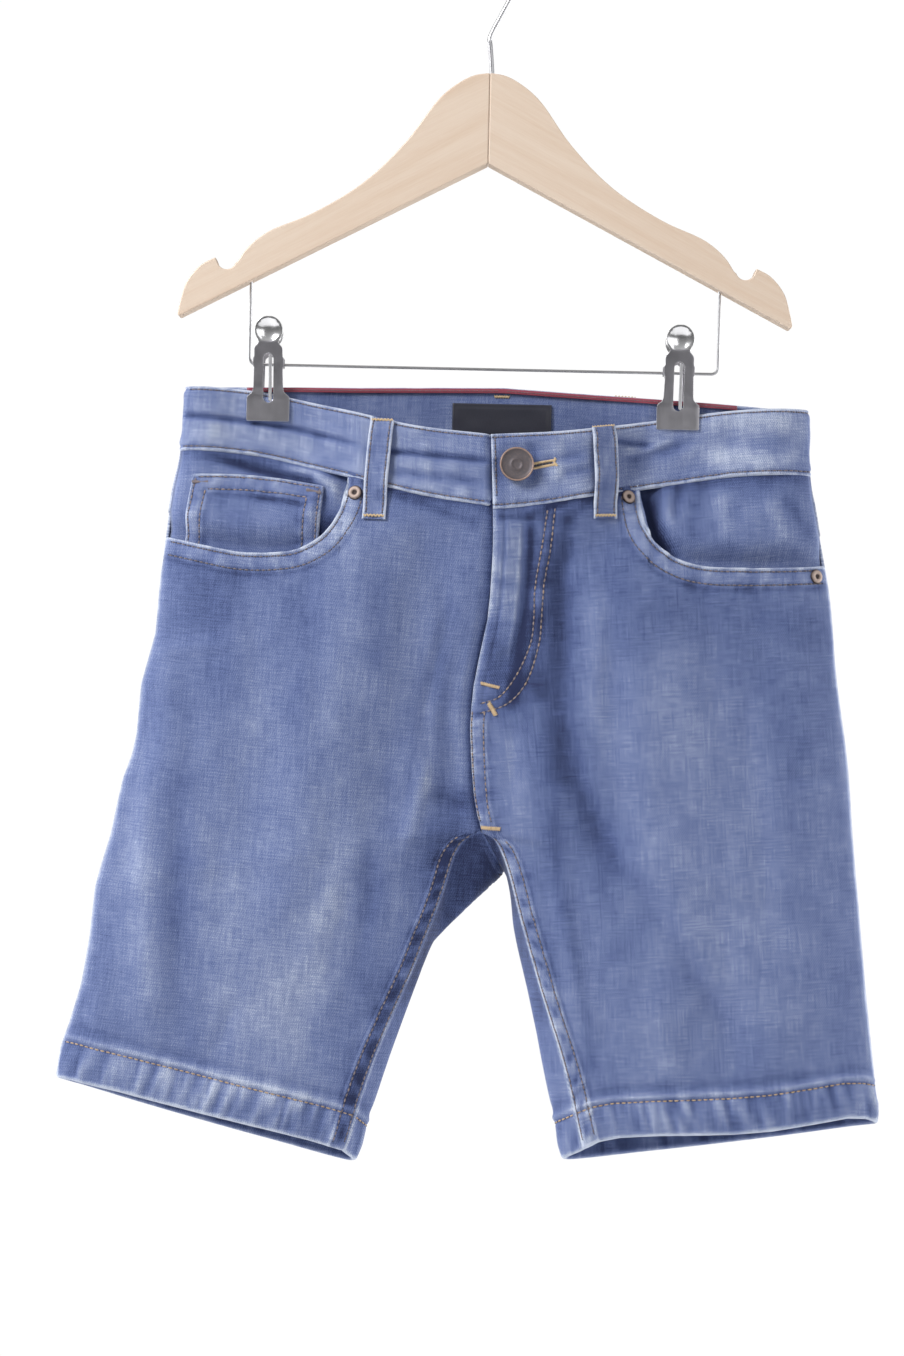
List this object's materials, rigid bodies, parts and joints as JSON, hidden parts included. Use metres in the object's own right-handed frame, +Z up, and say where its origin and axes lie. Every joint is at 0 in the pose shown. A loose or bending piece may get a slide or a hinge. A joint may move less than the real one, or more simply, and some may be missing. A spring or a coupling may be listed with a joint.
{
  "type": "denim shorts on clip hanger",
  "caption": "Child's five-pocket denim shorts with turned-up hems, hung flat by two sheet-metal spring clips from the wire bar of a wooden hanger.",
  "frame": {"origin": "The hook's seat: the lowest point of the inside of the hook's arc, at its crown, where it rests on a rail or peg.", "axes": "+Z up, +Y towards the garment's back, +X towards the wearer's left."},
  "size_m": [0.4062, 0.0535, 0.611],
  "materials": {
    "denim": "washed mid-blue twill, faded along seams and over the thighs",
    "label_satin": "black woven satin",
    "red_tape": "red woven tape",
    "zip_tape": "dark blue woven zip tape with metal teeth",
    "copper": "antique copper plate",
    "beech": "clear satin lacquer on light beech",
    "clip_steel": "dark nickel plate, satin",
    "wire": "zinc plate, satin"
  },
  "bodies": {
    "root": {"back_left": "denim", "back_pocket_left": "denim", "back_pocket_right": "denim", "back_right": "denim", "belt_loop_back_centre": "denim", "belt_loop_back_left": "denim", "belt_loop_back_right": "denim", "belt_loop_front_left": "denim", "belt_loop_front_right": "denim", "button": "copper", "clip_left_back": "clip_steel", "clip_left_front": "clip_steel", "clip_left_spring": "clip_steel", "clip_right_back": "clip_steel", "clip_right_front": "clip_steel", "clip_right_spring": "clip_steel", "coin_pocket": "denim", "fly_shield": "denim", "front_left": "denim", "front_right": "denim", "hanger_arm_left": "beech", "hanger_arm_right": "beech", "hanger_hook": "wire", "label": "label_satin", "pocket_left": "denim", "pocket_right": "denim", "rivet_left_inner": "copper", "rivet_left_outer": "copper", "rivet_right_inner": "copper", "rivet_right_outer": "copper", "trouser_bar": "wire", "waist_tape": "red_tape", "waistband": "denim", "yoke_left": "denim", "yoke_right": "denim", "zip": "zip_tape"}
  },
  "joints": []
}
